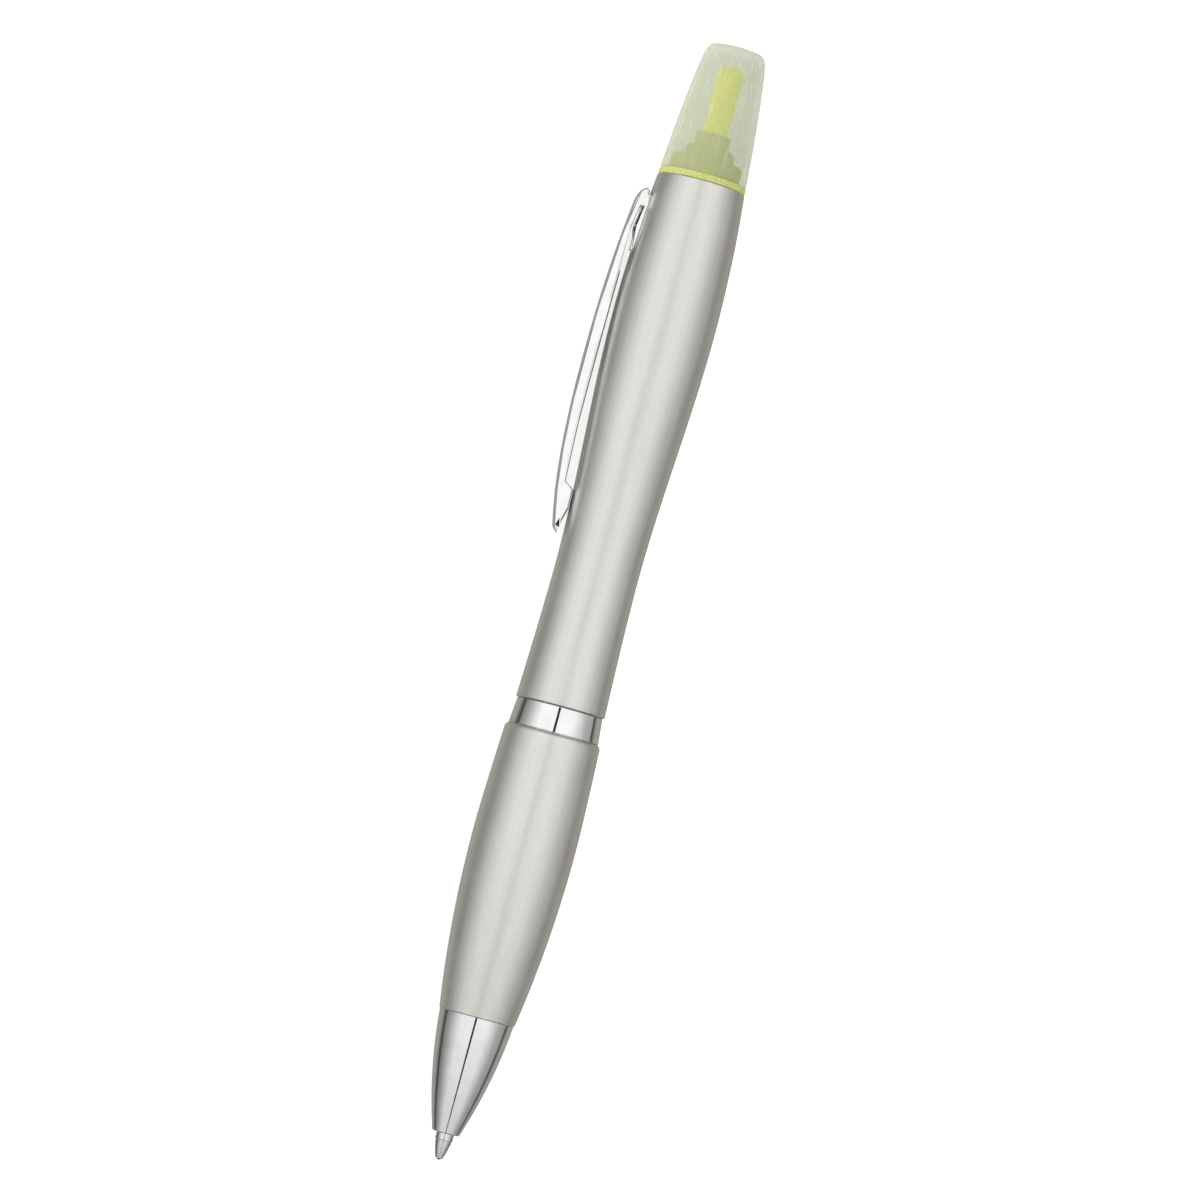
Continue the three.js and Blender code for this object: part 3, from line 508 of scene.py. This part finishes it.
def nib_holder(finish):
    """The collar and neck, with grooves that let air past as the cap is pulled."""
    grooves, width, depth, land_length = 16, 0.5, 0.3, 2.2
    start, fillet = 0.05, 0.2  # from the collar to where the grooves and the land begin
    run_out, proud = 0.95, 1  # how far the cutters pass the land's end and its face
    outline = section("nib_holder")
    collar_end = span("highlighter_cap")[0]
    land = max(p.x for p in outline if collar_end + fillet < p.y < collar_end + land_length)
    holder = lathe("fine_nib_holder", eased(outline))
    low = (land - depth, -width / 2, collar_end + start)
    high = (land + proud, width / 2, collar_end + land_length + run_out)
    turns = [2 * math.pi * (i + 0.5) / grooves for i in range(grooves)]
    cutters = [box_mesh(f"groove_{i}", low, high, turn) for i, turn in enumerate(turns)]
    return stand_in(cut(holder, cutters), "nib_holder", finish)


def highlighter_nib(finish):
    """A fibre rod whose end is cut to a chisel, on the plane of the CAD nib's own cut."""
    reach, cap_gap = 14.6, 0.05  # out of the collar, whose face is this far below the cap's rim
    corner, rounding, steps = 0.3, 0.7, 8
    steepest, flattest = 0.2, 0.97  # cosine of the angle from the pen's axis to the cut face's normal
    start = span("highlighter_nib")[0]
    mesh = frame["nodes"]["highlighter_nib"].data
    radius = max(math.hypot(*(from_world @ v.co).xy) for v in mesh.vertices)
    top = span("highlighter_cap")[0] - cap_gap + reach
    outline = [Vector((0, top))]
    for i in range(steps + 1):
        angle = math.pi / 2 * i / steps
        out, up = rounding * math.sin(angle), rounding * math.cos(angle)
        outline.append(Vector((radius - rounding + out, top - rounding + up)))
    outline += [Vector((radius, start + corner)), Vector((radius - corner, start)), Vector((0, start))]
    rod = lathe("fine_highlighter_nib", outline, SMALL_SIDES)
    slanted = [f for f in mesh.polygons if steepest < abs(f.normal.dot(cap_side)) < flattest]
    chisel = max(slanted, key=lambda f: f.area)
    build = bmesh.new()
    build.from_mesh(rod.data)
    everything = [*build.verts, *build.edges, *build.faces]
    facing = chisel.normal if chisel.normal.dot(cap_side) > 0 else -chisel.normal
    corner_of_cut = mesh.vertices[chisel.vertices[0]].co
    made = bmesh.ops.bisect_plane(
        build, geom=everything, plane_co=corner_of_cut, plane_no=facing, clear_outer=True
    )
    rim = [e for e in made["geom_cut"] if isinstance(e, bmesh.types.BMEdge)]
    bmesh.ops.contextual_create(build, geom=rim)
    build.to_mesh(rod.data)
    build.free()
    return stand_in(smoothed(rod), "highlighter_nib", finish)


def clip(finish):
    """The CAD clip's own form with leaning walls, a domed outer face, broken edges and smooth bends."""
    half_width, dome, draft = 2.25, 0.55, math.radians(4)
    outer_depth, weld, edge_width = 3.2, 0.002, 0.05
    outward = 0.2  # cosine of the angle from the clip's side to a normal that still counts as facing out
    corner = math.radians(35)
    build = bmesh.new()
    build.from_mesh(frame["nodes"]["clip"].data)
    bmesh.ops.remove_doubles(build, verts=build.verts, dist=weld * MM)
    crown = max((from_world @ v.co).x for v in build.verts)
    for vertex in build.verts:  # pressed walls lean in toward the barrel
        x, y, z = from_world @ vertex.co
        y -= math.copysign((crown - x) * math.tan(draft), y)
        vertex.co = pen @ Vector((x, y, z))
    for aside in (-0.75, -0.5, -0.25, 0, 0.25, 0.5, 0.75):  # loops to round the outer face across
        everything = [*build.verts, *build.edges, *build.faces]
        middle = pen @ Vector((0, aside * half_width, 0))
        bmesh.ops.bisect_plane(build, geom=everything, plane_co=middle, plane_no=view_side)
    build.normal_update()
    facing_out = [v for v in build.verts if v.normal.dot(clip_side) > outward]
    for vertex in [v for v in facing_out if (from_world @ v.co).x > crown - outer_depth]:
        aside = (from_world @ vertex.co).y / half_width
        vertex.co -= clip_side * dome * MM * aside**2
    mesh = bpy.data.meshes.new("fine_clip")
    build.to_mesh(mesh)
    build.free()
    made = bpy.data.objects.new("fine_clip", mesh)
    bpy.context.scene.collection.objects.link(made)
    smoothed(made, corner)
    edge = made.modifiers.new("edge", "BEVEL")
    edge.width = edge_width * MM
    edge.segments = 2
    edge.limit_method = "ANGLE"
    edge.angle_limit = corner
    shade = made.modifiers.new("shade", "WEIGHTED_NORMAL")
    shade.keep_sharp = True
    return stand_in(made, "clip", finish)


chrome_nose = chrome("chrome_trim", (1, 1, 0.3))
chrome_band = chrome("chrome_band", (0.3, 0.3, 2))
chrome_clip = chrome("chrome_clip", (1, 1, 0.3))
grip_lacquer = silver_lacquer("grip_lacquer", span("grip_barrel"))
upper_lacquer = silver_lacquer("upper_lacquer", span("upper_barrel"))
felt = yellow_felt()
nickel = turned_metal("nickel_silver", (0.70, 0.695, 0.685), (0.86, 0.855, 0.845), 0.06)
carbide = turned_metal("carbide", (0.004, 0.004, 0.006), (0.014, 0.014, 0.018), 0.2)
natural = moulded("natural_plastic", (0.72, 0.72, 0.68), (0.82, 0.82, 0.79), 0.42)

turned("nose_cone", chrome_nose)
turned("grip_barrel", grip_lacquer)
turned("centre_band", chrome_band)
cap = turned("highlighter_cap", frosted_plastic())
clear_inside(cap, frosted_plastic("frosted_plastic_inside", 0.07, 0.13))
turned("refill_tip", nickel, TIP_SIDES)
writing_ball(carbide)
turned("tip_holder", natural, SMALL_SIDES)
upper_barrel(upper_lacquer)
nib_holder(yellow_plastic())
highlighter_nib(felt)
clip(chrome_clip)

# ---- The pieces inside keep the CAD's own form ----

acetal = moulded("acetal", (0.76, 0.75, 0.70), (0.86, 0.85, 0.82), 0.3)
kept = {
    "cam_sleeve": acetal,
    "cam_follower": acetal,
    "mechanism_retainer": acetal,
    "guide_sleeve": moulded("black_plastic", (0.012, 0.012, 0.013), (0.035, 0.035, 0.036), 0.35),
    "ink_chamber": natural,
    "ink_reservoir": moulded("wet_fibre", (0.62, 0.64, 0.05), (0.80, 0.82, 0.12), 0.85, along=(3, 3, 0.3)),
    "reservoir_film": moulded("clear_film", (0.80, 0.80, 0.77), (0.90, 0.90, 0.88), 0.15, 0.8),
    "refill_tube": moulded("clear_tube", (0.82, 0.82, 0.80), (0.92, 0.92, 0.91), 0.2, 0.7),
    "refill_ink": moulded("ink_paste", (0.004, 0.004, 0.01), (0.012, 0.012, 0.03), 0.22),
    "grease_plug": moulded("grease", (0.55, 0.48, 0.24), (0.68, 0.62, 0.36), 0.15, 0.3),
    "return_spring": turned_metal("spring_wire", (0.30, 0.30, 0.31), (0.52, 0.52, 0.53), 0.25),
}
for node, finish in kept.items():
    frame["nodes"][node].data.materials.clear()
    frame["nodes"][node].data.materials.append(finish)

# ---- Studio ----


def direction(angle):
    """From the pen, that many degrees from the viewer toward the side away from the clip."""
    turn = math.radians(angle)
    return math.cos(turn) * view_side - math.sin(turn) * clip_side


def floor():
    """A pale floor under the pen, left out of reflections so that the plating stays readable."""
    half, shade, rough, glow = 3.0, 0.9, 0.9, 0.72
    mesh = bpy.data.meshes.new("floor")
    corners = [(x * half, y * half, 0) for x, y in ((-1, -1), (1, -1), (1, 1), (-1, 1))]
    mesh.from_pydata(corners, [], [(0, 1, 2, 3)])
    made = bpy.data.objects.new("floor", mesh)
    bpy.context.scene.collection.objects.link(made)
    paint = bpy.data.materials.new("floor")
    paint.use_nodes = True
    shader = paint.node_tree.nodes["Principled BSDF"]
    shader.inputs["Base Color"].default_value = (shade, shade, shade, 1)
    shader.inputs["Roughness"].default_value = rough
    shader.inputs["Specular IOR Level"].default_value = 0.0
    shader.inputs["Emission Color"].default_value = (1, 1, 1, 1)
    shader.inputs["Emission Strength"].default_value = glow
    mesh.materials.append(paint)
    made.visible_glossy = False


# Softboxes on both sides of a narrow gap, through which the viewer looks. Near is the clip's side. Each has
# the degrees it starts and ends at, and how bright it is there.
SOFTBOXES = (
    ("near_overhead", -44, -3.1, 1.0, 1.08),
    ("near_side", -78, -44, 0.42, 1.0),
    ("near_low", -102, -78, 0.15, 0.42),
    ("far_overhead", 3.1, 44, 1.05, 1.0),
    ("far_side", 44, 80, 1.0, 0.45),
    ("far_low", 80, 106, 0.45, 0.28),
)


def softbox(name, low, high, at_low, at_high, distance=0.5, length=1.5):
    """A long flat light beside the pen that fills the directions from low to high, in degrees.

    Its brightness runs from at_low to at_high across it, and falls off toward the tip's end.
    """
    light = bpy.data.lights.new(name, "AREA")
    light.shape = "RECTANGLE"
    middle, half = (low + high) / 2, math.radians(high - low) / 2
    light.size, light.size_y = length, 2 * distance * math.tan(half)
    light.energy = math.pi * light.size * light.size_y
    light.use_nodes = True
    tree = light.node_tree
    where = tree.nodes.new("ShaderNodeSeparateXYZ")
    tree.links.new(tree.nodes.new("ShaderNodeNewGeometry").outputs["Parametric"], where.inputs[0])
    along, across = (tree.nodes.new("ShaderNodeMapRange") for _ in range(2))
    fade = {"From Min": 0.2, "From Max": 0.5, "To Min": 0.62, "To Max": 1.0}
    for node, values in ((along, fade), (across, {"To Min": at_high, "To Max": at_low})):
        for socket, value in values.items():
            node.inputs[socket].default_value = value
    tree.links.new(where.outputs["X"], along.inputs["Value"])
    tree.links.new(where.outputs["Y"], across.inputs["Value"])
    strength = tree.nodes.new("ShaderNodeMath")
    strength.operation = "MULTIPLY"
    tree.links.new(along.outputs[0], strength.inputs[0])
    tree.links.new(across.outputs[0], strength.inputs[1])
    tree.links.new(strength.outputs[0], tree.nodes["Emission"].inputs["Strength"])
    made = bpy.data.objects.new(name, light)
    bpy.context.scene.collection.objects.link(made)
    away = direction(middle)
    turn = Matrix((cap_side, away.cross(cap_side), away)).transposed()
    made.matrix_world = Matrix.Translation(centre + away * distance) @ turn.to_4x4()
    made.visible_camera = False


def world():
    """Warm grey surroundings, brighter under the pen than beside and above it."""
    made = bpy.data.worlds.new("studio")
    made.use_nodes = True
    tree = made.node_tree
    toward = tree.nodes.new("ShaderNodeTexCoord")
    dot = tree.nodes.new("ShaderNodeVectorMath")
    dot.operation = "DOT_PRODUCT"
    dot.inputs[1].default_value = view_side
    ramp = tree.nodes.new("ShaderNodeValToRGB")
    shift = tree.nodes.new("ShaderNodeMapRange")
    shift.inputs["From Min"].default_value = -1
    tree.links.new(toward.outputs["Generated"], dot.inputs[0])
    tree.links.new(dot.outputs["Value"], shift.inputs["Value"])
    tree.links.new(shift.outputs[0], ramp.inputs[0])
    tree.links.new(ramp.outputs[0], tree.nodes["Background"].inputs[0])
    warmth = (1, 0.95, 0.88)
    stops = ((0.0, 0.36), (0.2, 0.36), (0.31, 0.1), (0.45, 0.05), (1.0, 0.02))
    while len(ramp.color_ramp.elements) < len(stops):
        ramp.color_ramp.elements.new(0.5)
    for element, (where, shade) in zip(ramp.color_ramp.elements, stops):
        element.position = where
        element.color = (*(shade * tint for tint in warmth), 1)
    bpy.context.scene.world = made


def camera():
    """Stands abreast of the grip and sees the clip edge-on, with the cap up and to the right."""
    distance, abreast = 700.0, 33.0
    aim_station, aim_side = 69.2, 1.3
    lean, frame_width = 15.08, 150.0
    lens = bpy.data.cameras.new("camera")
    lens.sensor_width = 36
    lens.lens = lens.sensor_width * distance / frame_width
    lens.clip_start = 0.01
    made = bpy.data.objects.new("camera", lens)
    bpy.context.scene.collection.objects.link(made)
    eye = pen @ Vector((0, distance, abreast))
    aim = pen @ Vector((-aim_side, 0, aim_station))
    forward = (aim - eye).normalized()
    along = (cap_side - forward * cap_side.dot(forward)).normalized()
    turn = math.radians(lean)
    up = math.cos(turn) * along - math.sin(turn) * forward.cross(along)
    right = forward.cross(up)
    made.matrix_world = Matrix.Translation(eye) @ Matrix((right, up, -forward)).transposed().to_4x4()
    bpy.context.scene.camera = made


low, high = cad_bounds
centre = Vector(((low.x + high.x) / 2, mouth.y, mouth.z))
floor()
world()
for settings in SOFTBOXES:
    softbox(*settings)
camera()
bpy.context.scene.view_settings.view_transform = "Standard"
